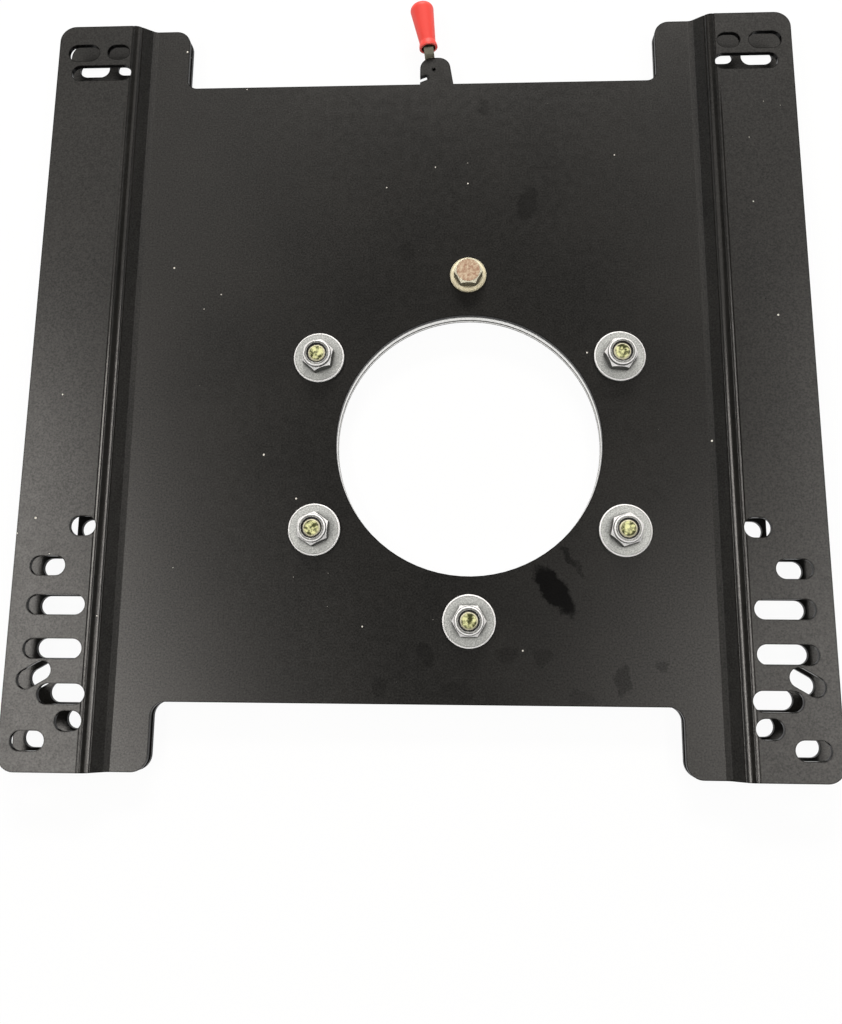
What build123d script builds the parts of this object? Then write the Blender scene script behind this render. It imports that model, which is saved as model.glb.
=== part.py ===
from build123d import *
import math
import os

os.makedirs("parts", exist_ok=True)

# Swivel seat base, in millimetres.
# The origin is on the swivel axis at the top face of the upper plate's middle.
# +Y points to the front, where the lever sticks out, and +Z points up.

# Plates
plate_width = 460.0
plate_length = 457.0
plate_offset_y = 42.3
sheet = 3.0
upper_rise = 7.6
floor_clearance = 0.3
flange_width = 59.5
joggle_angle = 38.0
bend_radius = 5.0
press_line_radius = 1.1
press_line_depth = 0.25
outer_corner = 10.0

# Notches at the front and rear edges
ear_width = 82.0
front_notch_depth = 40.5
rear_notch_depth = 38.0
notch_outer_corner = 9.0
notch_front_inner = 6.0
notch_rear_inner = 8.0

# Waisted sides of the lower plate
waist_depth = 28.5
waist_front_inset = 43.3
waist_rear_inset = 124.2
waist_corner = 7.0

# Guard tab over the lever
tab_centre_x = -19.6
tab_base_width = 21.0
tab_tip_width = 18.0
tab_tip_shift = -1.5
tab_length = 18.4
tab_corner = 7.5
slit_width = 3.4
slit_length = 7.5
slit_tilt = 22.0
slit_height = 3.4
tab_hole_radius = 1.0
tab_hole_x = -21.4
tab_hole_rise = 10.2

# Hub
hole_radius = 77.5
hub_width = 44.5
bolt_inset = 25.1
bolt_places = 6
running_fit = 0.08
glide_gap = 0.1
upper_glide = 3.5
lower_glide = 1.0
ring_sheet = 3.0
ring_overlap = 15.0
ring_bend_gap = 3.0
upper_glide_start = 6.6
upper_glide_width = 10.4
lower_glide_start = 2.0
glide_open_from = 80.0
glide_open_to = 102.0
hub_wall = 9.5
bore_bevel = 0.5

# Fasteners, metric ten
thread = 10.0
clear_hole = 10.8
thread_fit = 0.05
washer_radius = 15.0
washer_thick = 2.5
washer_bevel = 0.7
nut_flats = 17.0
nut_height = 10.0
nut_hex_height = 7.4
nut_crown_inset = 0.2
nut_collar_radius = 7.9
collar_bevel = 0.7
insert_height = 2.0
insert_wall = 1.1
insert_sink = 1.2
stud_end = 12.0
stud_bevel = 0.7
stud_head_radius = 8.5
stud_head_thick = 1.6
head_fit = 0.15
flange_radius = 10.9
flange_thick = 1.6
flange_top_radius = 8.6
flange_step = 0.5
flange_cone = 1.2
head_flats = 15.0
head_height = 9.7
head_crown_inset = 0.4
crown_angle = 31.0
pivot_bolt_length = 12.0

# Lever
lever_sheet = 3.0
lever_gap = 0.3
lever_swing = 9.0
eye_radius = 13.0
bush_radius = 7.6
pivot_fit = 0.1
bush_shoulder = 11.5
spigot_radius = 6.5
arm_width_eye = 15.0
arm_width_front = 7.0
tooth_inner = 34.0
tooth_outer = 44.0
tooth_trailing = 181.0
short_arm_spread = 15.0
seam_overlap = 1.0
tooth_tip_gap = 0.8
tooth_floor_gap = 0.5
notch_gap = 0.35
pocket_gap = 1.2
pocket_from = 50.0
rivet_radius = 2.0

# Grip
grip_shift = -5.2
grip_tab_gap = 5.9
tang_width = 6.0
tang_rise = 6.0
tang_run = 4.8
tang_neck_length = 5.3
tang_flat = 1.0
tang_root = 4.0
tang_depth = 27.0
grip_length = 31.0
grip_mouth_radius = 5.8
grip_mouth_lip = 1.2
grip_neck_radius = 5.1
grip_neck_place = 4.2
grip_end_radius = 7.4
grip_end_round = 3.9
grip_bore_radius = 4.4
grip_bore_depth = 9.0
socket_fit = 0.1

# Slots of the ears: inset from the plate's side, inset from its front or rear edge, length, width, tilt
front_slots = [
    (16.2, 18.7, 19.8, 11.4, 0.0),
    (38.4, 18.4, 14.0, 10.0, 0.0),
    (28.3, 32.9, 38.0, 10.4, 0.0),
]
rear_slots = [
    (38.5, 136.1, 15.2, 11.2, 0.0),
    (19.8, 113.2, 20.5, 11.0, 0.0),
    (26.4, 91.2, 33.6, 11.0, 0.0),
    (26.4, 66.8, 33.6, 11.0, 0.0),
    (16.9, 52.3, 20.6, 10.8, -30.0),
    (33.1, 42.1, 27.2, 11.2, 0.0),
    (38.4, 27.6, 15.3, 11.0, 0.0),
    (16.2, 16.8, 19.4, 10.8, 0.0),
]

# Levels and places that follow from the sizes above
upper_bottom = -sheet
lower_top = upper_bottom - upper_glide - glide_gap
lower_bottom = lower_top - sheet
ring_top = lower_bottom - lower_glide - glide_gap
ring_bottom = ring_top - ring_sheet
floor_level = ring_bottom - floor_clearance
lower_drop = lower_bottom - floor_level
lever_top = upper_bottom - lever_gap
lever_bottom = lever_top - lever_sheet
front_edge = plate_offset_y + plate_length / 2
rear_edge = plate_offset_y - plate_length / 2
front_notch = front_edge - front_notch_depth
rear_notch = rear_edge + rear_notch_depth
half_width = plate_width / 2
joggle_half_width = half_width - flange_width
notch_half_width = half_width - ear_width
waist_half_width = half_width - waist_depth
waist_front = front_edge - waist_front_inset
waist_rear = rear_edge + waist_rear_inset
bolt_circle = hole_radius + bolt_inset
bore_radius = hole_radius + hub_width
ring_radius = bore_radius + ring_overlap
plate_offset_x = ring_radius + ring_bend_gap - joggle_half_width
upper_glide_inner = bore_radius + upper_glide_start
upper_glide_outer = upper_glide_inner + upper_glide_width
lower_glide_inner = bore_radius + lower_glide_start
pivot = (0.0, bolt_circle)
tab_tip = front_notch + tab_length
tab_tip_x = tab_centre_x + tab_tip_shift
mouth_x = tab_centre_x + grip_shift
mouth_y = tab_tip + grip_tab_gap
lever_angle = math.degrees(math.atan2(pivot[0] - mouth_x, mouth_y - pivot[1]))
cut_margin = half_width / 10
stud_angles = [90.0 + 360.0 / bolt_places * place for place in range(1, bolt_places)]


def cylinder(radius, bottom, top, x=0.0, y=0.0):
    tall = Cylinder(radius, top - bottom, align=(Align.CENTER, Align.CENTER, Align.MIN))
    return Pos(x, y, bottom) * tall


def ring(inner, outer, bottom, top, x=0.0, y=0.0):
    return cylinder(outer, bottom, top, x, y) - cylinder(inner, bottom - 1, top + 1, x, y)


def bore_edges(solid):
    # The two round edges of the middle hole.
    return solid.edges().filter_by(GeomType.CIRCLE).sort_by(SortBy.RADIUS)[:2]


def prism(face, bottom, top):
    return Pos(0, 0, bottom) * extrude(face, amount=top - bottom)


def hexagon(flats, bottom, top, x, y, turn):
    face = RegularPolygon(radius=flats / math.sqrt(3), side_count=6, rotation=turn)
    return Pos(x, y, 0) * prism(face, bottom, top)


def corner_crown(flats, inset, top, x, y):
    # Cone that takes the corners off the top of a hexagon.
    rim = flats / 2 - inset
    foot = rim + flats * math.tan(math.radians(crown_angle))
    cone = Cone(foot, rim, flats, align=(Align.CENTER, Align.CENTER, Align.MAX))
    return Pos(x, y, top) * cone


def polar(radius, angle, x=0.0, y=0.0):
    bearing = math.radians(angle)
    return (x + radius * math.cos(bearing), y + radius * math.sin(bearing))


def sector(radius, start, end, x=0.0, y=0.0):
    # A pie piece with straight sides, wide enough to cover the circle of that radius.
    steps = max(2, int(abs(end - start) / 20.0) + 1)
    reach = radius / math.cos(math.radians((end - start) / steps / 2))
    rim = [polar(reach, start + (end - start) * step / steps, x, y) for step in range(steps + 1)]
    return make_face(Polyline((x, y), *rim, close=True))


def rounded(points):
    # A flat outline from corner points that each carry their own corner radius.
    face = make_face(Polyline(*[(x, y) for x, y, radius in points], close=True))
    for x, y, radius in points:
        if radius > 0:
            corner = face.vertices().sort_by_distance((x, y, 0))[0]
            face = fillet([corner], radius)
    return face


def stadium(length, width, x, y, tilt):
    return Pos(x, y) * Rot(0, 0, tilt) * SlotOverall(length, width)


def joggled_sheet(top, drop):
    # Sheet bent along both sides: flat middle, slope, flat flange. A negative drop rises.
    slope = math.radians(joggle_angle)
    side = -1.0 if drop > 0 else 1.0
    run = abs(drop) / math.tan(slope)
    shift = sheet * math.tan(slope / 2) * side
    first = joggle_half_width
    second = first + run
    reach = half_width + cut_margin
    upper_line = [(first, top), (second, top - drop), (reach, top - drop)]
    lower_line = [(first + shift, top - sheet), (second + shift, top - drop - sheet)]
    lower_line.append((reach, top - drop - sheet))
    right = upper_line + lower_line[::-1]
    left = [(-x, z) for x, z in right][::-1]
    face = make_face(Polyline(*right, *left, close=True))
    wide = bend_radius + sheet
    for mirror in (-1, 1):
        bends = [
            (first, top, bend_radius if side > 0 else wide),
            (second, top - drop, wide if side > 0 else bend_radius),
            (first + shift, top - sheet, wide if side > 0 else bend_radius),
            (second + shift, top - drop - sheet, bend_radius if side > 0 else wide),
        ]
        for x, z, radius in bends:
            corner = face.vertices().sort_by_distance((mirror * x, z, 0))[0]
            face = fillet([corner], radius)
    solid = extrude(Plane.XZ * face, amount=plate_length / 2 + cut_margin, both=True)
    return Pos(plate_offset_x, plate_offset_y, 0) * solid


def press_lines():
    # Shallow lines that the die leaves on both sides of the upper plate's outer bends.
    slope = math.radians(joggle_angle)
    tangent = (bend_radius + sheet) * math.tan(slope / 2)
    lift = press_line_radius - press_line_depth
    bend_x = joggle_half_width + upper_rise / math.tan(slope)
    places = [
        (bend_x + tangent, upper_rise + lift),
        (
            bend_x - tangent * math.cos(slope) - lift * math.sin(slope),
            upper_rise - tangent * math.sin(slope) + lift * math.cos(slope),
        ),
    ]
    cutters = []
    for mirror in (-1, 1):
        for x, z in places:
            rod = Rot(90, 0, 0) * Cylinder(press_line_radius, plate_length + 2 * cut_margin)
            cutters.append(Pos(plate_offset_x + mirror * x, plate_offset_y, z) * rod)
    return cutters


def ear_slots():
    cutters = []
    places = [(inset, front_edge - along, *rest) for inset, along, *rest in front_slots]
    places += [(inset, rear_edge + along, *rest) for inset, along, *rest in rear_slots]
    for inset, y, length, width, tilt in places:
        for mirror in (-1, 1):
            x = plate_offset_x + mirror * (half_width - inset)
            face = stadium(length, width, x, y, mirror * tilt)
            cutters.append(prism(face, floor_level - 5, upper_rise + 5))
    return cutters


def side_points(mirror, front_points, side, rear_points):
    return [(plate_offset_x + mirror * u, y, r) for u, y, r in front_points + side + rear_points]


front_points = [
    (notch_half_width, front_notch, notch_front_inner),
    (notch_half_width, front_edge, notch_outer_corner),
    (half_width, front_edge, outer_corner),
]
rear_points = [
    (half_width, rear_edge, outer_corner),
    (notch_half_width, rear_edge, notch_outer_corner),
    (notch_half_width, rear_notch, notch_rear_inner),
]
waist_points = [
    (half_width, waist_front, waist_corner),
    (waist_half_width, waist_front, waist_corner),
    (waist_half_width, waist_rear, waist_corner),
    (half_width, waist_rear, waist_corner),
]

# Guard tab and the small hook slit at its left foot
tab_points = [
    (tab_centre_x - tab_base_width / 2, front_notch, 0),
    (tab_tip_x - tab_tip_width / 2, tab_tip, tab_corner),
    (tab_tip_x + tab_tip_width / 2, tab_tip, tab_corner),
    (tab_centre_x + tab_base_width / 2, front_notch, 0),
]
slit_x = tab_centre_x - tab_base_width / 2 + slit_length / 2 - slit_width
slit = stadium(slit_length + slit_width, slit_width, slit_x, front_notch + slit_height, slit_tilt)

# Upper plate
right_side = side_points(1, front_points, [], rear_points)
left_side = side_points(-1, front_points, [], rear_points)[::-1]
upper_outline = rounded(tab_points + right_side + left_side)
upper_plate = joggled_sheet(0.0, -upper_rise) & prism(upper_outline, floor_level, upper_rise + 5)
upper_plate -= press_lines()
upper_plate -= ear_slots()
upper_plate -= cylinder(hole_radius, upper_bottom - 1, 1)
upper_plate -= prism(slit, upper_bottom - 1, 1)
upper_plate -= cylinder(tab_hole_radius, upper_bottom - 1, 1, tab_hole_x, front_notch + tab_hole_rise)
for angle in stud_angles + [90.0]:
    x, y = polar(bolt_circle, angle)
    upper_plate -= cylinder(clear_hole / 2, upper_bottom - 1, 1, x, y)

# Lever: an eye on the bush, a long arm to the front and a short arm with the latch tooth
lever_bearing = 90.0 + lever_angle
lever_reach = math.hypot(mouth_x - pivot[0], mouth_y - pivot[1])
arm_end = polar(lever_reach - tang_neck_length, lever_bearing, *pivot)
across = lever_bearing - 90.0


def arm_corner(centre, width, side):
    return polar(side * width / 2, across, *centre)


def tooth_face(extra, start, end):
    # Band of a ring about the pivot, so that the tooth slides along itself when the lever turns.
    band = Pos(*pivot) * (Circle(tooth_outer + extra) - Circle(tooth_inner - extra))
    return band & sector(tooth_outer + 3, start, end, *pivot)


tooth_start = 120.0
tooth_plan = tooth_face(0.0, tooth_start, tooth_trailing) & Circle(bore_radius - tooth_tip_gap)
arm_plan = make_face(Polyline(
    arm_corner(pivot, arm_width_eye, -1),
    arm_corner(pivot, arm_width_eye, 1),
    arm_corner(arm_end, arm_width_front, 1),
    arm_corner(arm_end, arm_width_front, -1),
    close=True,
))
short_plan = sector(tooth_inner + seam_overlap, tooth_trailing - short_arm_spread, tooth_trailing, *pivot)
eye_plan = Pos(*pivot) * Circle(eye_radius)
lever_plan = eye_plan + arm_plan + short_plan + tooth_plan

# Tang: narrows beyond the guard tab, rises and runs into the grip
tang_level = lever_top - lever_sheet / 2 + tang_rise
tang_plane = Plane(
    origin=(arm_end[0], arm_end[1], 0),
    x_dir=(math.cos(math.radians(lever_bearing)), math.sin(math.radians(lever_bearing)), 0),
    z_dir=(math.sin(math.radians(lever_bearing)), -math.cos(math.radians(lever_bearing)), 0),
)
half_sheet = lever_sheet / 2
low = lever_top - half_sheet
rise_end = tang_flat + tang_run
tang_end = tang_neck_length + tang_depth
slope_shift = half_sheet * math.tan(math.atan2(tang_rise, rise_end - tang_flat) / 2)
tang_points = [
    (-tang_root, low + half_sheet),
    (tang_flat - slope_shift, low + half_sheet),
    (rise_end - slope_shift, tang_level + half_sheet),
    (tang_end, tang_level + half_sheet),
    (tang_end, tang_level - half_sheet),
    (rise_end + slope_shift, tang_level - half_sheet),
    (tang_flat + slope_shift, low - half_sheet),
    (-tang_root, low - half_sheet),
]
tang = extrude(tang_plane * make_face(Polyline(*tang_points, close=True)), amount=tang_width / 2, both=True)
lever_arm = prism(lever_plan, lever_bottom, lever_top) + tang
lever_arm -= cylinder(bush_radius + pivot_fit, lever_bottom - 1, lever_top + 1, *pivot)
rivet_places = []
for bearing in (164.0, 175.0):
    rivet_places.append(polar((tooth_inner + tooth_outer) / 2, bearing, *pivot))
tooth_bottom = lower_bottom + tooth_floor_gap
latch_tooth = prism(tooth_plan, tooth_bottom, lever_bottom)
latch_rivets = []
for x, y in rivet_places:
    lever_arm -= cylinder(rivet_radius, lever_bottom - 1, lever_top + 1, x, y)
    latch_tooth -= cylinder(rivet_radius, tooth_bottom - 1, lever_bottom + 1, x, y)
    latch_rivets.append(cylinder(rivet_radius, tooth_bottom, lever_top, x, y))

# Lower plate: bore that runs on the hub ring, with four notches for the latch tooth
notch_plan = tooth_face(notch_gap, tooth_start - tooth_outer / 2, tooth_trailing)
notch_reach = Circle(bore_radius - tooth_tip_gap + notch_gap)
notch_solid = Pos(*pivot) * Rot(0, 0, -lever_swing) * Pos(-pivot[0], -pivot[1]) * (notch_plan & notch_reach)
lower_right = side_points(1, front_points, waist_points, rear_points)
lower_left = side_points(-1, front_points, waist_points, rear_points)[::-1]
lower_outline = rounded(lower_right + lower_left)
lower_plate = joggled_sheet(lower_top, lower_drop) & prism(lower_outline, floor_level - 1, 1)
lower_plate -= ear_slots()
lower_plate -= cylinder(bore_radius, lower_bottom - 1, lower_top + 1)
for quarter in range(4):
    lower_plate -= Rot(0, 0, 90 * quarter) * prism(notch_solid, lower_bottom - 1, lower_top + 1)

# Hub ring with a pocket for the lever's eye and short arm
pocket = sector(tooth_outer + pocket_gap, pocket_from, tooth_trailing + 6.0, *pivot)
pocket &= Pos(*pivot) * Circle(tooth_outer + pocket_gap)
pocket += Pos(*pivot) * Circle(eye_radius + pocket_gap)
pocket -= Circle(hole_radius + hub_wall)
hub_ring = ring(hole_radius, bore_radius - running_fit, ring_top, upper_bottom)
hub_ring = chamfer(bore_edges(hub_ring), bore_bevel)
hub_ring -= prism(pocket, ring_top - 1, upper_bottom + 1)

# Retaining ring under the lower plate, and the two nylon glide rings
retaining_ring = ring(hole_radius, ring_radius, ring_bottom, ring_top)
retaining_ring = chamfer(bore_edges(retaining_ring), bore_bevel)
retaining_ring -= cylinder(spigot_radius, ring_bottom - 1, ring_top + 1, *pivot)
glide_bottom = upper_bottom - upper_glide
upper_glide_ring = ring(upper_glide_inner, upper_glide_outer, glide_bottom, upper_bottom)
glide_gate = sector(upper_glide_outer + 5, glide_open_from, glide_open_to)
upper_glide_ring -= prism(glide_gate, glide_bottom - 1, upper_bottom + 1)
lower_glide_ring = ring(lower_glide_inner, ring_radius, ring_top, ring_top + lower_glide)

# Five studs with flush heads, washers, lock nuts and nylon inserts
ring_studs = []
ring_washers = []
ring_nuts = []
nut_inserts = []
nut_turns = [20.0, 26.0, 0.0, 18.0, 55.0]
nut_bottom = washer_thick
nut_top = nut_bottom + nut_height
insert_bottom = nut_top - insert_height
for angle, turn in zip(stud_angles, nut_turns):
    x, y = polar(bolt_circle, angle)
    head_top = ring_bottom + stud_head_thick
    hub_ring -= cylinder(clear_hole / 2, ring_top - 1, upper_bottom + 1, x, y)
    retaining_ring -= cylinder(thread / 2 + thread_fit, ring_bottom - 1, ring_top + 1, x, y)
    retaining_ring -= cylinder(stud_head_radius + head_fit, ring_bottom - 1, head_top, x, y)
    stud = cylinder(thread / 2, ring_bottom, stud_end, x, y)
    stud = chamfer(stud.edges().group_by(Axis.Z)[-1], stud_bevel)
    ring_studs.append(stud + cylinder(stud_head_radius, ring_bottom, head_top, x, y))
    washer = ring(clear_hole / 2, washer_radius, 0.0, washer_thick, x, y)
    rim = washer.edges().group_by(Axis.Z)[-1].sort_by(SortBy.LENGTH)[-1]
    ring_washers.append(chamfer(rim, washer_bevel))
    nut = hexagon(nut_flats, nut_bottom, nut_bottom + nut_hex_height, x, y, turn)
    nut &= corner_crown(nut_flats, nut_crown_inset, nut_bottom + nut_hex_height, x, y)
    nut += cylinder(nut_collar_radius, nut_bottom + nut_hex_height, nut_top, x, y)
    nut = chamfer(nut.edges().filter_by(GeomType.CIRCLE).group_by(Axis.Z)[-1], collar_bevel)
    nut -= cylinder(thread / 2 + thread_fit, nut_bottom - 1, nut_top + 1, x, y)
    insert_radius = thread / 2 + insert_wall
    nut -= cylinder(insert_radius, insert_bottom, nut_top + 1, x, y)
    ring_nuts.append(nut)
    insert_top = nut_top - insert_sink
    nut_inserts.append(ring(thread / 2 + thread_fit, insert_radius, insert_bottom, insert_top, x, y))

# Pivot bush: spigot in the retaining ring, shoulder under the lever's eye, neck up to the upper plate
shoulder_top = lever_bottom - pivot_fit
pivot_bush = cylinder(spigot_radius, ring_bottom, ring_top, *pivot)
pivot_bush += cylinder(bush_shoulder, ring_top, shoulder_top, *pivot)
pivot_bush += cylinder(bush_radius, shoulder_top, upper_bottom, *pivot)
pivot_bush -= cylinder(thread / 2 + thread_fit, ring_bottom - 1, upper_bottom + 1, *pivot)

# Flange bolt on which the lever turns
flange_bolt = cylinder(thread / 2, -pivot_bolt_length, 0.0, *pivot)
flange_bolt += cylinder(flange_radius, 0.0, flange_thick, *pivot)
cone_foot = flange_radius - flange_step
cone = Cone(cone_foot, flange_top_radius, flange_cone, align=(Align.CENTER, Align.CENTER, Align.MIN))
flange_bolt += Pos(*pivot, flange_thick) * cone
head = hexagon(head_flats, flange_thick, head_height, *pivot, 0.0)
flange_bolt += head & corner_crown(head_flats, head_crown_inset, head_height, *pivot)

# Grip: tapered plastic sleeve with a flared open mouth and a flat socket for the tang
grip_profile = make_face(Polyline(
    (0, 0),
    (grip_mouth_radius, 0),
    (grip_mouth_radius, grip_mouth_lip),
    (grip_neck_radius, grip_neck_place),
    (grip_end_radius, grip_length - grip_end_round * 1.02),
    (grip_end_radius, grip_length),
    (0, grip_length),
    close=True,
))
end_corner = grip_profile.vertices().sort_by_distance((grip_end_radius, grip_length, 0))[0]
grip_profile = fillet([end_corner], grip_end_round)
lever_grip = revolve(Plane.XZ * grip_profile, axis=Axis.Z)
lever_grip -= cylinder(grip_bore_radius, -1, grip_bore_depth)
socket_depth = tang_end - tang_neck_length + 0.5
socket = Box(tang_width + 2 * socket_fit, lever_sheet + 2 * socket_fit, socket_depth)
lever_grip -= Pos(0, 0, socket_depth / 2) * socket
grip_plane = Plane(
    origin=(*polar(tang_neck_length, lever_bearing, *arm_end), tang_level),
    x_dir=(math.sin(math.radians(lever_bearing)), -math.cos(math.radians(lever_bearing)), 0),
    z_dir=(math.cos(math.radians(lever_bearing)), math.sin(math.radians(lever_bearing)), 0),
)
lever_grip = grip_plane.location * lever_grip

pieces = {
    "upper_plate": upper_plate,
    "lower_plate": lower_plate,
    "hub_ring": hub_ring,
    "retaining_ring": retaining_ring,
    "upper_glide_ring": upper_glide_ring,
    "lower_glide_ring": lower_glide_ring,
    "ring_studs": Compound(children=ring_studs),
    "ring_washers": Compound(children=ring_washers),
    "ring_nuts": Compound(children=ring_nuts),
    "nut_inserts": Compound(children=nut_inserts),
    "pivot_bush": pivot_bush,
    "flange_bolt": flange_bolt,
    "lever_arm": lever_arm,
    "latch_tooth": latch_tooth,
    "latch_rivets": Compound(children=latch_rivets),
    "lever_grip": lever_grip,
}
for name, shape in pieces.items():
    export_step(shape, f"parts/{name}.step")
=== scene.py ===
# Swivel seat base: finishes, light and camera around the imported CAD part. Units are metres.
import math

import bpy
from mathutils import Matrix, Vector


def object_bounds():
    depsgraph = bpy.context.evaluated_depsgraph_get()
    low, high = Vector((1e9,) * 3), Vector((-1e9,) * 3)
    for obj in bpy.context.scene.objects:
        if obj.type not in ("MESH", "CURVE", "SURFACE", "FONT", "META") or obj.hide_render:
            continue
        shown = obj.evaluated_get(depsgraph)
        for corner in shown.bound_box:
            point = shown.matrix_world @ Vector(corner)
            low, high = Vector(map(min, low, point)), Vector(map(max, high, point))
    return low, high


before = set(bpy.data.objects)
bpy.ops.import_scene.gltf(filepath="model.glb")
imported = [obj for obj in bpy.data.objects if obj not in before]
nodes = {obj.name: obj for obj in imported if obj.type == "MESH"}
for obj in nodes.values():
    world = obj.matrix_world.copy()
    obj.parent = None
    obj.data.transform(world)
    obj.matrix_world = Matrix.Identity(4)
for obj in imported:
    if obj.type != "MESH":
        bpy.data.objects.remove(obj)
cadLow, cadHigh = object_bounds()
mm = 0.001
print("frame loaded:", len(nodes), "CAD pieces")


def toLinear(hexColour):
    # sRGB hex to linear RGBA
    parts = [int(hexColour[i:i + 2], 16) / 255 for i in (1, 3, 5)]
    linear = [c / 12.92 if c <= 0.04045 else ((c + 0.055) / 1.055) ** 2.4 for c in parts]
    return (*linear, 1.0)


def addNode(tree, kind, inputs=None, **settings):
    # one node with its settings, values and links
    node = tree.nodes.new("ShaderNode" + kind)
    for name, value in settings.items():
        setattr(node, name, value)
    for name, value in (inputs or {}).items():
        if isinstance(value, bpy.types.NodeSocket):
            tree.links.new(value, node.inputs[name])
        else:
            node.inputs[name].default_value = value
    return node


def newMaterial(name):
    material = bpy.data.materials.new(name)
    material.use_nodes = True
    tree = material.node_tree
    tree.nodes.clear()
    shader = addNode(tree, "BsdfPrincipled")
    addNode(tree, "OutputMaterial", {"Surface": shader.outputs[0]})
    place = addNode(tree, "TexCoord").outputs["Object"]
    return material, tree, shader, place


def perSize(sizeMm):
    # texture scale that gives features of this size
    return 1 / (sizeMm * mm)


def limits(span):
    # where a range begins and where it is full
    return {"From Min": span[0], "From Max": span[1]}


def heightBand(tree, place, bandMm):
    # share that rises between the first two heights and falls between the last two
    height = addNode(tree, "SeparateXYZ", {0: place}).outputs["Z"]
    start, full, last, end = (value * mm for value in bandMm)
    rise = addNode(tree, "MapRange", {"Value": height, **limits((start, full))})
    fall = addNode(tree, "MapRange", {"Value": height, **limits((end, last))})
    band = addNode(tree, "Math", {0: rise.outputs[0], 1: fall.outputs[0]}, operation="MULTIPLY")
    return band.outputs[0]


def edgeTurn(tree, radiusMm):
    # normal rounded at the edges, and how well it agrees with the true one: 1 away from edges
    rounded = addNode(tree, "Bevel", {"Radius": radiusMm * mm}, samples=6).outputs[0]
    flat = addNode(tree, "NewGeometry").outputs["Normal"]
    turned = addNode(tree, "VectorMath", {0: rounded, 1: flat}, operation="DOT_PRODUCT")
    return rounded, turned.outputs["Value"]


def levelShare(tree):
    # 1 on level faces, 0 on upright walls
    flat = addNode(tree, "NewGeometry").outputs["Normal"]
    up = addNode(tree, "SeparateXYZ", {0: flat}).outputs["Z"]
    return addNode(tree, "Math", {0: up}, operation="ABSOLUTE").outputs[0]


# Satin black powder coat: sprayed polyester powder, baked on sheet steel.
# It gives a soft sheen, a fine grain, dust and greasy hand marks; cut edges and walls get painted
# shade.
powderCoat = {
    "black": "#0c0c0b",
    "faded": "#201f1d",
    # colour of the painted shade on cut edges and walls
    "edge": "#060606",
    "dust": "#d8d5cd",
    "grease": "#080808",
    "cloudMm": 60,
    "grainMm": 1.0,
    "grainShare": 0.65,
    "toneSpan": (0.36, 0.64),
    "roughness": 0.30,
    "wornMm": 5,
    "wornSpread": 0.05,
    "gloss": 0.5,
    "greaseGloss": -0.38,  # taken off the gloss where a hand mark is full
    "cutGloss": 0.1,  # share of the gloss left on cut edges
    "grainSpan": (0.3, 0.7),
    "grainGloss": (0.76, 1.24),
    "peelMm": 1.1,
    "peelDepthMm": 0.016,
    "dustCellMm": 10.0,
    "dustyFrom": 0.972,  # cells above this share hold a speck
    "speckReach": 0.065,  # radius of the largest speck, in cells
    "speckDull": 0.3,
    "edgeMm": 1.2,
    "edgeSpan": (0.985, 0.9),
    "wallSpan": (0.5, 0.2),
    "footMm": (0.0, 0.02, 0.78, 1.3),
    "footRoughness": 0.75,
    "crestMm": (5.2, 5.5, 7.55, 7.59),
    "crestRoughness": 0.18,
    # lip and dip along the flanges: start, end and step, measured out from the plate's middle line
    "middleMm": -30.5,
    "lipMm": [(182.5, 183.4, 0.02), (183.4, 184.5, -0.09), (184.5, 185.3, 0.07)],
    "lipFadeMm": (205, 225),  # it runs out before the front slots
    "ragMm": 7,
    "ragShiftMm": 14,
    "markSpan": (1.05, 0.7),
    # place from the swivel axis, half width, half length, turn and strength of each hand mark
    "handMarks": [
        (48, -85, 8, 19, 36, 1.0),
        (56, -66, 3, 9, 30, 0.6),
        (62, -72, 2, 8, 30, 0.4),
        (36, 149, 7, 12, -18, 0.35),
        (10, 213, 4, 5, 0, 0.3),
        (-38, 118, 6, 7, 0, 0.2),
        (85, -134, 5, 9, -10, 0.4),
        (106, -127, 3, 4, 0, 0.35),
        (-24, -121, 6, 7, 20, 0.3),
        (21, -121, 7, 5, 0, 0.25),
        (41, -122, 7, 5, 0, 0.25),
        (-50, -139, 4, 8, 10, 0.25),
        (-8, -141, 12, 5, 0, 0.2),
        (62, -143, 9, 4, 0, 0.2),
    ],
}


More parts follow.
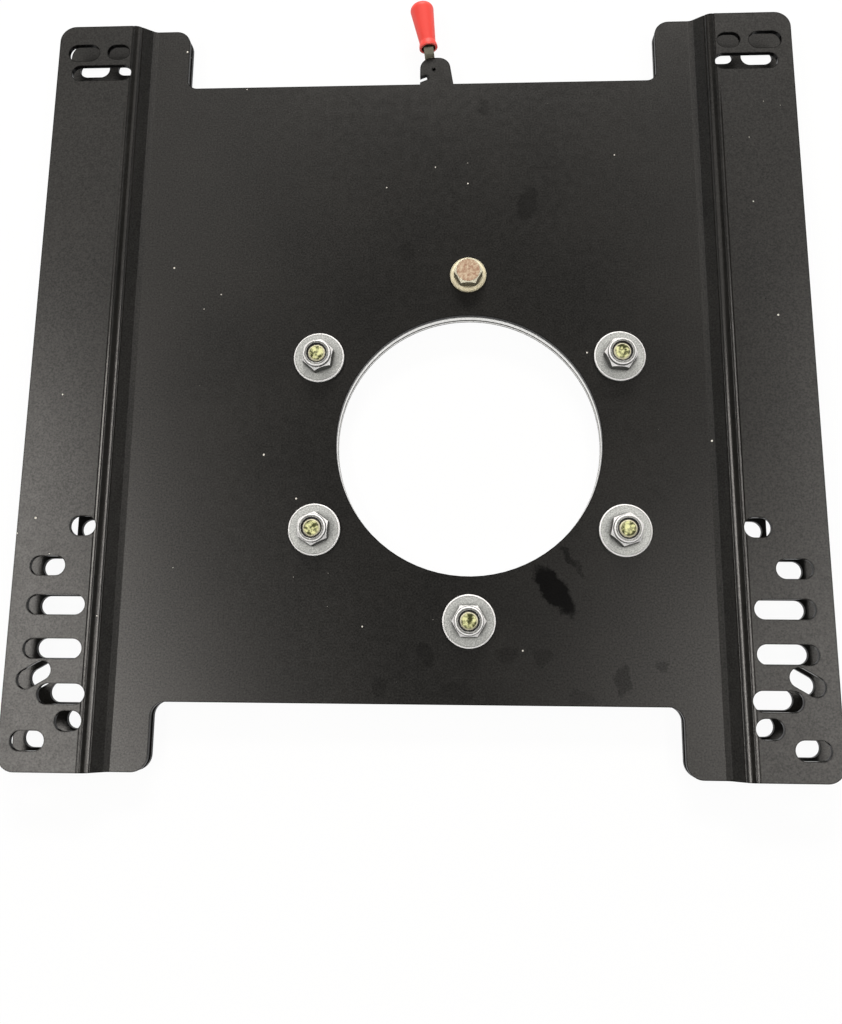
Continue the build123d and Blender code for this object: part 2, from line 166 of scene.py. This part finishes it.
def makePowderCoat():
    spec = powderCoat
    material, tree, shader, place = newMaterial("satin black powder coat on steel")
    cloud = addNode(tree, "TexNoise", {
        "Vector": place, "Scale": perSize(spec["cloudMm"]), "Detail": 5.0})
    grain = addNode(tree, "TexNoise", {
        "Vector": place, "Scale": perSize(spec["grainMm"]), "Detail": 4.0})
    patchy = addNode(tree, "Mix", {0: spec["grainShare"], 2: cloud.outputs[0], 3: grain.outputs[0]})
    tone = addNode(tree, "MapRange", {"Value": patchy.outputs[0], **limits(spec["toneSpan"])})
    colour = addNode(tree, "Mix", {
        0: tone.outputs[0], 6: toLinear(spec["black"]), 7: toLinear(spec["faded"])},
        data_type="RGBA")

    # hand marks: ovals with a ragged rim
    ragged = addNode(tree, "TexNoise", {
        "Vector": place, "Scale": perSize(spec["ragMm"]), "Detail": 6.0, "Roughness": 0.65})
    wander = addNode(tree, "VectorMath", {
        0: ragged.outputs["Color"], 1: (0.5, 0.5, 0.5)}, operation="SUBTRACT")
    shift = addNode(tree, "VectorMath", {
        0: wander.outputs[0], "Scale": spec["ragShiftMm"] * mm}, operation="SCALE")
    spread = addNode(tree, "VectorMath", {0: place, 1: shift.outputs[0]})
    marks = None
    for x, y, halfWidth, halfLength, turn, strength in spec["handMarks"]:
        oval = addNode(tree, "Mapping", {
            "Vector": spread.outputs[0],
            "Location": (x * mm, y * mm, 0),
            "Rotation": (0, 0, math.radians(turn)),
            "Scale": (halfWidth * mm, halfLength * mm, 1)}, vector_type="TEXTURE")
        far = addNode(tree, "VectorMath", {0: oval.outputs[0]}, operation="LENGTH")
        soft = addNode(tree, "MapRange", {
            "Value": far.outputs["Value"], **limits(spec["markSpan"]), "To Max": strength},
            interpolation_type="SMOOTHSTEP")
        if marks is None:
            marks = soft.outputs[0]
        else:
            marks = addNode(tree, "Math", {
                0: marks, 1: soft.outputs[0]}, operation="MAXIMUM").outputs[0]
    colour = addNode(tree, "Mix", {
        0: marks, 6: colour.outputs[2], 7: toLinear(spec["grease"])}, data_type="RGBA")

    # dust: single specks in a few of the cells
    cells = addNode(tree, "TexVoronoi", {
        "Vector": place, "Scale": perSize(spec["dustCellMm"])}, voronoi_dimensions="2D")
    chosen = addNode(tree, "SeparateColor", {0: cells.outputs["Color"]})
    size = addNode(tree, "MapRange", {
        "Value": chosen.outputs[0], "From Min": spec["dustyFrom"], "To Max": spec["speckReach"]})
    speck = addNode(tree, "Math", {
        0: cells.outputs["Distance"], 1: size.outputs[0]}, operation="LESS_THAN")
    colour = addNode(tree, "Mix", {
        0: speck.outputs[0], 6: colour.outputs[2], 7: toLinear(spec["dust"])}, data_type="RGBA")

    # cut edges and walls: painted shade, a darker colour there and most of the gloss taken away
    turned = edgeTurn(tree, spec["edgeMm"])[1]
    edge = addNode(tree, "MapRange", {"Value": turned, **limits(spec["edgeSpan"])})
    wall = addNode(tree, "MapRange", {"Value": levelShare(tree), **limits(spec["wallSpan"])})
    cutShade = addNode(tree, "Math", {0: edge.outputs[0], 1: wall.outputs[0]}, operation="MAXIMUM")
    colour = addNode(tree, "Mix", {
        0: cutShade.outputs[0], 6: colour.outputs[2], 7: toLinear(spec["edge"])}, data_type="RGBA")
    tree.links.new(colour.outputs[2], shader.inputs["Base Color"])

    # roughness: dust is dull, and so is the thick coat in the inside bends;
    # the outside bends and the lip are burnished by the die
    worn = addNode(tree, "TexNoise", {
        "Vector": place, "Scale": perSize(spec["wornMm"]), "Detail": 6.0})
    sheen = addNode(tree, "MapRange", {
        "Value": worn.outputs[0],
        "To Min": spec["roughness"] - spec["wornSpread"],
        "To Max": spec["roughness"] + spec["wornSpread"]})
    dull = addNode(tree, "Math", {
        0: speck.outputs[0], 1: spec["speckDull"], 2: sheen.outputs[0]}, operation="MULTIPLY_ADD")
    foot = heightBand(tree, place, spec["footMm"])
    matt = addNode(tree, "Mix", {0: foot, 2: dull.outputs[0], 3: spec["footRoughness"]})
    crest = heightBand(tree, place, spec["crestMm"])
    spot = addNode(tree, "SeparateXYZ", {0: place})
    aside = addNode(tree, "Math", {
        0: spot.outputs["X"], 1: spec["middleMm"] * mm}, operation="SUBTRACT")
    across = addNode(tree, "Math", {0: aside.outputs[0]}, operation="ABSOLUTE")
    lipStart, lipEnd = spec["lipMm"][0][0] * mm, spec["lipMm"][-1][1] * mm
    onLip = addNode(tree, "Math", {
        0: across.outputs[0], 1: (lipStart + lipEnd) / 2, 2: (lipEnd - lipStart) / 2},
        operation="COMPARE")
    fadeStart, fadeEnd = (value * mm for value in spec["lipFadeMm"])
    lipShare = addNode(tree, "MapRange", {
        "Value": spot.outputs["Y"], **limits((fadeEnd, fadeStart))}).outputs[0]
    lipRub = addNode(tree, "Math", {0: onLip.outputs[0], 1: lipShare}, operation="MULTIPLY")
    rubAndGlint = addNode(tree, "Math", {0: crest, 1: lipRub.outputs[0]}, operation="MAXIMUM")
    smooth = addNode(tree, "Mix", {
        0: rubAndGlint.outputs[0], 2: matt.outputs[0], 3: spec["crestRoughness"]})
    tree.links.new(smooth.outputs[0], shader.inputs["Roughness"])

    # gloss: less on greasy marks and much less under the painted shade of cut edges and walls;
    # grain varies it
    shine = addNode(tree, "Math", {
        0: marks, 1: spec["greaseGloss"], 2: spec["gloss"]}, operation="MULTIPLY_ADD")
    kept = addNode(tree, "MapRange", {
        "Value": cutShade.outputs[0], "To Min": 1.0, "To Max": spec["cutGloss"]})
    grainLow, grainHigh = spec["grainGloss"]
    fine = addNode(tree, "MapRange", {
        "Value": grain.outputs[0], **limits(spec["grainSpan"]),
        "To Min": grainLow, "To Max": grainHigh})
    grainy = addNode(tree, "Math", {0: kept.outputs[0], 1: fine.outputs[0]}, operation="MULTIPLY")
    gloss = addNode(tree, "Math", {0: shine.outputs[0], 1: grainy.outputs[0]}, operation="MULTIPLY")
    tree.links.new(gloss.outputs[0], shader.inputs["Specular IOR Level"])

    # orange peel, drawn coarser than the real 0.5 mm so that it shows
    peel = addNode(tree, "TexNoise", {
        "Vector": place, "Scale": perSize(spec["peelMm"]), "Detail": 3.0})
    bump = addNode(tree, "Bump", {
        "Height": peel.outputs[0], "Distance": spec["peelDepthMm"] * mm, "Strength": 1.0})

    # lip that the die leaves along the outer border of each outside bend
    lip = None
    for start, end, step in spec["lipMm"]:
        ramp = addNode(tree, "MapRange", {
            "Value": across.outputs[0], **limits((start * mm, end * mm)), "To Max": step * mm})
        if lip is None:
            lip = ramp.outputs[0]
        else:
            lip = addNode(tree, "Math", {0: lip, 1: ramp.outputs[0]}).outputs[0]
    lip = addNode(tree, "Math", {0: lip, 1: lipShare}, operation="MULTIPLY").outputs[0]
    pressed = addNode(tree, "Bump", {
        "Height": lip, "Distance": 1.0, "Strength": 1.0, "Normal": bump.outputs[0]})
    tree.links.new(pressed.outputs[0], shader.inputs["Normal"])
    return material


# Bright zinc: electroplated punched steel of the washers, grainy and slightly dull, painted rim
# highlights.
brightZinc = {
    "clean": "#e4e7e5", "dull": "#a9acab", "edge": "#ffffff", "grime": "#24221d",
    "metal": 0.6, "roughness": 0.4, "grainMm": 0.8, "mottle": 0.15, "edgeMm": 0.45,
    "grimeMm": 3.0, "rubAndGlint": 1.0, "rimShade": 0.55, "shadeMm": 1.5, "wallShade": 0.3,
}
# Ring zinc: the same plating on turned rings, with painted shade lines in the gaps where they meet.
ringZinc = {
    "clean": "#ffffff", "dull": "#e2e2de", "edge": "#ffffff", "grime": "#0c0b09",
    "metal": 0.5, "roughness": 0.35, "grainMm": 1.6, "mottle": 0.15, "edgeMm": 0.3,
    "grimeMm": 0.8, "rubAndGlint": 0.0, "rimShade": 0.0, "shadeMm": 0.5, "wallShade": 0.0,
    "seamsMm": [(-3.0, 1.4), (-9.8, 1.5), (-13.7, 1.8)],  # height and half width
}
# Nut zinc: bright plating on turned and pressed nuts, smoother and more mirror-like.
nutZinc = {
    "clean": "#d6d8d5", "dull": "#a2a5a2", "edge": "#ffffff", "grime": "#15130f",
    "metal": 0.8, "roughness": 0.3, "grainMm": 1.2, "mottle": 0.15, "edgeMm": 0.4,
    "grimeMm": 3.0, "rubAndGlint": 1.0, "rimShade": 0.6, "shadeMm": 1.0, "wallShade": 0.85,
}
# Yellow zinc: yellow passivated zinc plate that drifts from straw to olive, stained in blotches.
yellowZinc = {
    "clean": "#eef0b4", "dull": "#3f421c", "edge": "#fbf7d8", "grime": "#1d1b10",
    "metal": 0.4, "roughness": 0.4, "grainMm": 2.8, "mottle": 0.07, "edgeMm": 0.4,
    "grimeMm": 0.6, "rubAndGlint": 0.9, "rimShade": 0.5, "shadeMm": 1.2, "wallShade": 0.3,
}
# Pale gold zinc: thin passivation on the pivot bolt, straw on the flange, pink on the worn crown.
paleZinc = {
    "clean": "#fff6d6", "dull": "#f0e2b8", "edge": "#fffae0", "grime": "#1c150c",
    "metal": 0.25, "roughness": 0.36, "grainMm": 1.8, "mottle": 0.15, "edgeMm": 0.35,
    "grimeMm": 2.4, "rubAndGlint": 0.9, "rimShade": 0.6, "shadeMm": 0.8, "wallShade": 0.85,
    "crown": "#a8806c", "crownMm": 8.4, "crownShare": (1.0, 0.45),
}
# Plated lever steel: rolled strip with an olive grey zinc finish.
leverZinc = {
    "clean": "#7a7766", "dull": "#423f34", "edge": "#a8a592", "grime": "#15140f",
    "metal": 0.8, "roughness": 0.45, "grainMm": 1.4, "mottle": 0.15, "edgeMm": 0.4,
    "grimeMm": 1.5, "rubAndGlint": 0.5, "rimShade": 0.0, "shadeMm": 0.8, "wallShade": 0.5,
}
# What all the platings share. The spans are where each effect begins and where it is full.
platingCommon = {
    "roughSpread": 0.1, "grimeRoughness": 0.8, "edgeMetal": 0.1, "gloss": 0.5,
    "grainDepthMm": 0.03, "grainStrength": 0.7, "cornerGrime": 0.95,
    "shadeSpan": (0.9995, 0.99), "edgeSpan": (0.985, 0.945), "chamferSpan": (0.86, 0.74),
    "offWallSpan": (0.3, 0.5), "cornerSpan": (0.8, 0.45), "wallSpan": (0.35, 0.15),
    "seamSpan": (0.9, 0.5), "crownSpan": (0.35, 0.65),
}


def makePlating(name, spec):
    shared = platingCommon
    material, tree, shader, place = newMaterial(name)
    grain = addNode(tree, "TexNoise", {
        "Vector": place, "Scale": perSize(spec["grainMm"]), "Detail": 6.0, "Roughness": 0.65})
    tone = addNode(tree, "MapRange", {
        "Value": grain.outputs[0], **limits((0.5 - spec["mottle"], 0.5 + spec["mottle"]))})
    colour = addNode(tree, "Mix", {
        0: tone.outputs[0], 6: toLinear(spec["dull"]), 7: toLinear(spec["clean"])},
        data_type="RGBA")
    if "crown" in spec:
        height = addNode(tree, "SeparateXYZ", {0: place}).outputs["Z"]
        top = addNode(tree, "Math", {0: height, 1: spec["crownMm"] * mm}, operation="GREATER_THAN")
        most, least = spec["crownShare"]
        worn = addNode(tree, "MapRange", {
            "Value": grain.outputs[0], **limits(shared["crownSpan"]),
            "To Min": most, "To Max": least})
        share = addNode(tree, "Math", {0: top.outputs[0], 1: worn.outputs[0]}, operation="MULTIPLY")
        colour = addNode(tree, "Mix", {
            0: share.outputs[0], 6: colour.outputs[2], 7: toLinear(spec["crown"])},
            data_type="RGBA")

    # painted highlight: edges and chamfers are whitened and made less metallic; painted shade line
    # beside them
    near = edgeTurn(tree, spec["shadeMm"])[1]
    beside = addNode(tree, "MapRange", {
        "Value": near, **limits(shared["shadeSpan"]), "To Max": spec["rimShade"]})
    colour = addNode(tree, "Mix", {
        0: beside.outputs[0], 6: colour.outputs[2], 7: toLinear(spec["grime"])}, data_type="RGBA")
    rounded, turned = edgeTurn(tree, spec["edgeMm"])
    edge = addNode(tree, "MapRange", {
        "Value": turned, **limits(shared["edgeSpan"]), "To Max": spec["rubAndGlint"]})
    level = levelShare(tree)
    tilted = addNode(tree, "MapRange", {
        "Value": level, **limits(shared["chamferSpan"]), "To Max": spec["rubAndGlint"]})
    notWall = addNode(tree, "MapRange", {"Value": level, **limits(shared["offWallSpan"])})
    chamfer = addNode(tree, "Math", {
        0: tilted.outputs[0], 1: notWall.outputs[0]}, operation="MULTIPLY")
    paintedGlint = addNode(tree, "Math", {0: edge.outputs[0], 1: chamfer.outputs[0]}, operation="MAXIMUM")
    colour = addNode(tree, "Mix", {
        0: paintedGlint.outputs[0], 6: colour.outputs[2], 7: toLinear(spec["edge"])}, data_type="RGBA")

    # painted shade: corners (ambient occlusion), upright walls and the seams between the rings are
    # darkened
    gap = addNode(tree, "AmbientOcclusion", {"Distance": spec["grimeMm"] * mm}, samples=8)
    corner = addNode(tree, "MapRange", {
        "Value": gap.outputs["AO"], **limits(shared["cornerSpan"]),
        "To Max": shared["cornerGrime"]})
    wall = addNode(tree, "MapRange", {
        "Value": level, **limits(shared["wallSpan"]), "To Max": spec["wallShade"]})
    paintedShade = addNode(tree, "Math", {
        0: corner.outputs[0], 1: wall.outputs[0]}, operation="MAXIMUM").outputs[0]
    for seam, half in spec.get("seamsMm", []):
        line = heightBand(tree, place, (seam - half, seam - half / 2, seam + half / 2, seam + half))
        onWall = addNode(tree, "MapRange", {"Value": level, **limits(shared["seamSpan"])})
        seamShade = addNode(tree, "Math", {0: line, 1: onWall.outputs[0]}, operation="MULTIPLY")
        paintedShade = addNode(tree, "Math", {
            0: paintedShade, 1: seamShade.outputs[0]}, operation="MAXIMUM").outputs[0]
    colour = addNode(tree, "Mix", {
        0: paintedShade, 6: colour.outputs[2], 7: toLinear(spec["grime"])}, data_type="RGBA")
    tree.links.new(colour.outputs[2], shader.inputs["Base Color"])

    rough = addNode(tree, "MapRange", {
        "Value": grain.outputs[0],
        "To Min": spec["roughness"] - shared["roughSpread"],
        "To Max": spec["roughness"] + shared["roughSpread"]})
    shadedRough = addNode(tree, "Mix", {0: paintedShade, 2: rough.outputs[0], 3: shared["grimeRoughness"]})
    tree.links.new(shadedRough.outputs[0], shader.inputs["Roughness"])
    bump = addNode(tree, "Bump", {
        "Height": grain.outputs[0], "Distance": shared["grainDepthMm"] * mm,
        "Strength": shared["grainStrength"], "Normal": rounded})
    tree.links.new(bump.outputs[0], shader.inputs["Normal"])

    # the painted shade is neither metallic nor glossy
    metal = addNode(tree, "MapRange", {
        "Value": paintedGlint.outputs[0], "To Min": spec["metal"], "To Max": shared["edgeMetal"]})
    cleanShare = addNode(tree, "Math", {0: 1.0, 1: paintedShade}, operation="SUBTRACT").outputs[0]
    shown = addNode(tree, "Math", {0: metal.outputs[0], 1: cleanShare}, operation="MULTIPLY")
    tree.links.new(shown.outputs[0], shader.inputs["Metallic"])
    shine = addNode(tree, "Math", {0: cleanShare, 1: shared["gloss"]}, operation="MULTIPLY")
    tree.links.new(shine.outputs[0], shader.inputs["Specular IOR Level"])
    return material


# Natural nylon: moulded, milky and slightly see-through.
naturalNylon = {"milky": "#e6e2d6", "shade": "#cfcabb", "roughness": 0.48, "cloudMm": 4}
# Dark nylon: moulded inserts of the lock nuts, nearly black.
darkNylon = {"milky": "#1e1e20", "shade": "#151516", "roughness": 0.5, "cloudMm": 2}
nylonDepth = {"share": 0.15, "reachMm": 0.6}  # light that goes into the nylon


def makeNylon(name, spec):
    material, tree, shader, place = newMaterial(name)
    cloud = addNode(tree, "TexNoise", {
        "Vector": place, "Scale": perSize(spec["cloudMm"]), "Detail": 3.0})
    colour = addNode(tree, "Mix", {
        0: cloud.outputs[0], 6: toLinear(spec["shade"]), 7: toLinear(spec["milky"])},
        data_type="RGBA")
    tree.links.new(colour.outputs[2], shader.inputs["Base Color"])
    shader.inputs["Roughness"].default_value = spec["roughness"]
    shader.inputs["Subsurface Weight"].default_value = nylonDepth["share"]
    shader.inputs["Subsurface Scale"].default_value = nylonDepth["reachMm"] * mm
    return material


# Red soft PVC: dip moulded sleeve, even colour with a soft gloss, a painted highlight on the rim
# and painted shade inside.
redSleeve = {
    "red": "#ee463b", "deep": "#e43d33", "rim": "#ff8c82", "insideShade": "#7e1c1a",
    "roughness": 0.5, "cloudMm": 8, "peelMm": 1.2, "peelDepthMm": 0.02, "peelStrength": 0.4,
    "rimMm": 0.8, "rimShare": 0.8, "rimSpan": (0.985, 0.92),
    "insideMm": 7, "insideSpan": (0.6, 0.3), "depthShare": 0.1, "depthMm": 1.0,
}


def makeRedSleeve():
    spec = redSleeve
    material, tree, shader, place = newMaterial("red PVC, moulded sleeve")
    cloud = addNode(tree, "TexNoise", {
        "Vector": place, "Scale": perSize(spec["cloudMm"]), "Detail": 3.0})
    colour = addNode(tree, "Mix", {
        0: cloud.outputs[0], 6: toLinear(spec["deep"]), 7: toLinear(spec["red"])},
        data_type="RGBA")
    # painted highlight: paler colour along the rim
    rounded, turned = edgeTurn(tree, spec["rimMm"])
    rim = addNode(tree, "MapRange", {
        "Value": turned, **limits(spec["rimSpan"]), "To Max": spec["rimShare"]})
    colour = addNode(tree, "Mix", {
        0: rim.outputs[0], 6: colour.outputs[2], 7: toLinear(spec["rim"])}, data_type="RGBA")
    # painted shade: darker colour inside the mouth, by ambient occlusion
    gap = addNode(tree, "AmbientOcclusion", {"Distance": spec["insideMm"] * mm}, samples=8)
    insideShade = addNode(tree, "MapRange", {"Value": gap.outputs["AO"], **limits(spec["insideSpan"])})
    colour = addNode(tree, "Mix", {
        0: insideShade.outputs[0], 6: colour.outputs[2], 7: toLinear(spec["insideShade"])}, data_type="RGBA")
    tree.links.new(colour.outputs[2], shader.inputs["Base Color"])
    peel = addNode(tree, "TexNoise", {
        "Vector": place, "Scale": perSize(spec["peelMm"]), "Detail": 2.0})
    bump = addNode(tree, "Bump", {
        "Height": peel.outputs[0], "Distance": spec["peelDepthMm"] * mm,
        "Strength": spec["peelStrength"], "Normal": rounded})
    tree.links.new(bump.outputs[0], shader.inputs["Normal"])
    shader.inputs["Roughness"].default_value = spec["roughness"]
    shader.inputs["Subsurface Weight"].default_value = spec["depthShare"]
    shader.inputs["Subsurface Scale"].default_value = spec["depthMm"] * mm
    return material


coat = makePowderCoat()
zinc = makePlating("bright zinc plate, grainy", brightZinc)
ringPlate = makePlating("bright zinc plate on turned rings", ringZinc)
nutPlate = makePlating("bright zinc plate, turned", nutZinc)
yellow = makePlating("yellow passivated zinc plate", yellowZinc)
pale = makePlating("pale gold passivated zinc plate", paleZinc)
lever = makePlating("olive zinc on rolled strip", leverZinc)
milky = makeNylon("natural nylon, moulded", naturalNylon)
darkInsert = makeNylon("dark dyed nylon, moulded", darkNylon)
red = makeRedSleeve()
finishes = {
    "upper_plate": coat, "lower_plate": coat,
    "hub_ring": ringPlate, "retaining_ring": ringPlate,
    "ring_washers": zinc, "ring_nuts": nutPlate,
    "pivot_bush": zinc, "latch_rivets": zinc,
    "ring_studs": yellow, "flange_bolt": pale,
    "nut_inserts": darkInsert, "upper_glide_ring": milky, "lower_glide_ring": milky,
    "lever_arm": lever, "latch_tooth": lever, "lever_grip": red,
}
for name, finish in finishes.items():
    mesh = nodes[name].data
    mesh.materials.clear()
    mesh.materials.append(finish)
print("finishes set:", len(set(finishes.values())))

# Pale floor under the lower plate's flanges
floorPlan = {"halfSize": 6.0, "colour": "#f7f7f6", "whiteShare": 0.95, "gapMm": 0.1}


def makeFloor():
    spec = floorPlan
    half = spec["halfSize"]
    corners = [(-half, -half, 0), (half, -half, 0), (half, half, 0), (-half, half, 0)]
    mesh = bpy.data.meshes.new("floor")
    mesh.from_pydata(corners, [], [(0, 1, 2, 3)])
    floor = bpy.data.objects.new("floor", mesh)
    floor.location.z = cadLow.z - spec["gapMm"] * mm
    bpy.context.scene.collection.objects.link(floor)
    material = bpy.data.materials.new("white paper sweep")
    material.use_nodes = True
    tree = material.node_tree
    tree.nodes.clear()
    path = addNode(tree, "LightPath")
    seen = path.outputs["Is Camera Ray"]
    for ray in ("Is Glossy Ray", "Is Transmission Ray"):
        seen = addNode(tree, "Math", {
            0: seen, 1: path.outputs[ray]}, operation="MAXIMUM").outputs[0]
    share = addNode(tree, "Math", {0: seen, 1: spec["whiteShare"]}, operation="MULTIPLY")
    paper = addNode(tree, "BsdfDiffuse", {"Color": toLinear(spec["colour"])})
    white = addNode(tree, "Emission", {"Strength": 1.0})
    mixed = addNode(tree, "MixShader", {
        0: share.outputs[0], 1: paper.outputs[0], 2: white.outputs[0]})
    addNode(tree, "OutputMaterial", {"Surface": mixed.outputs[0]})
    mesh.materials.append(material)


makeFloor()

# Soft boxes above the table on both sides and at the front. The room is white at eye level and
# dark overhead, with pale walls in front and behind.
lightPlan = {
    "left": {"place": (-1.14, 0.03, 1.8), "size": (0.38, 1.21), "turn": 18, "radiance": 9.4},
    "left front": {
        "place": (-1.05, 1.09, 1.8), "size": (1.06, 0.99), "turn": -58, "radiance": 0.95},
    "left rear": {"place": (-0.84, -0.66, 1.8), "size": (0.54, 0.33), "turn": 23, "radiance": 8.8},
    "right": {"place": (1.12, 0.09, 1.8), "size": (0.2, 1.34), "turn": 0, "radiance": 12.5},
    "right front": {"place": (0.93, 1.48, 1.8), "size": (0.7, 1.5), "turn": -7, "radiance": 0.95},
    "right rear": {"place": (0.7, -0.37, 1.8), "size": (0.62, 0.77), "turn": -9, "radiance": 2.7},
    "front": {"place": (0.06, 2.87, 1.8), "size": (1.68, 1.0), "turn": 13, "radiance": 27.9},
}
lightColour = "#fffaf4"
roomPlan = {
    "colour": "#ffffff",
    "eyeLevel": 1.76, "overhead": 0.048, "darkSpan": (0.05, 0.36),
    "endWalls": 0.4, "endSpan": (0.5, 0.9),
}


def makeLights():
    for name, spec in lightPlan.items():
        lamp = bpy.data.lights.new("softbox " + name, "AREA")
        lamp.shape = "RECTANGLE"
        lamp.size, lamp.size_y = spec["size"]
        lamp.energy = math.pi * lamp.size * lamp.size_y * spec["radiance"]
        lamp.color = toLinear(lightColour)[:3]
        box = bpy.data.objects.new("softbox " + name, lamp)
        box.location = spec["place"]
        box.rotation_euler.z = math.radians(spec["turn"])
        bpy.context.scene.collection.objects.link(box)


def makeRoom():
    spec = roomPlan
    world = bpy.data.worlds.new("room")
    bpy.context.scene.world = world
    world.use_nodes = True
    tree = world.node_tree
    tree.nodes.clear()
    way = addNode(tree, "SeparateXYZ", {0: addNode(tree, "TexCoord").outputs["Generated"]})
    level = addNode(tree, "MapRange", {
        "Value": way.outputs["Z"], **limits(spec["darkSpan"]),
        "To Min": spec["eyeLevel"], "To Max": spec["overhead"]}, interpolation_type="SMOOTHSTEP")
    ends = addNode(tree, "Math", {0: way.outputs["Y"]}, operation="ABSOLUTE")
    walls = addNode(tree, "MapRange", {
        "Value": ends.outputs[0], **limits(spec["endSpan"]), "To Max": spec["endWalls"]},
        interpolation_type="SMOOTHSTEP")
    light = addNode(tree, "Math", {0: level.outputs[0], 1: walls.outputs[0]}, operation="MAXIMUM")
    seen = addNode(tree, "LightPath").outputs["Is Camera Ray"]
    backdrop = addNode(tree, "Mix", {0: seen, 2: light.outputs[0], 3: 1.0})
    room = addNode(tree, "Background", {
        "Color": toLinear(spec["colour"]), "Strength": backdrop.outputs[0]})
    addNode(tree, "OutputWorld", {"Surface": room.outputs[0]})


makeLights()
makeRoom()
print("floor and light set")

# Camera of the photo, with the sensor's width on the image's long side
cameraPlan = {
    "place": (-0.001424, -0.11403, 0.56659),
    "turn": (11.60, 2.699, 0.466),
    "focalPx": 990.8,
    "centrePx": (418.72, 438.76),
    "imagePx": (842, 1024),
    "sensorMm": 36.0,
    "clip": (0.01, 50.0),
}


def makeCamera():
    spec = cameraPlan
    data = bpy.data.cameras.new("camera")
    width, height = spec["imagePx"]
    data.sensor_width = spec["sensorMm"]
    data.lens = spec["focalPx"] / height * data.sensor_width
    data.shift_x = (width / 2 - spec["centrePx"][0]) / height
    data.shift_y = (spec["centrePx"][1] - height / 2) / height
    data.clip_start, data.clip_end = spec["clip"]
    camera = bpy.data.objects.new("camera", data)
    camera.location = spec["place"]
    camera.rotation_euler = [math.radians(a) for a in spec["turn"]]
    bpy.context.scene.collection.objects.link(camera)
    bpy.context.scene.camera = camera


makeCamera()
bpy.context.scene.view_settings.view_transform = "Standard"
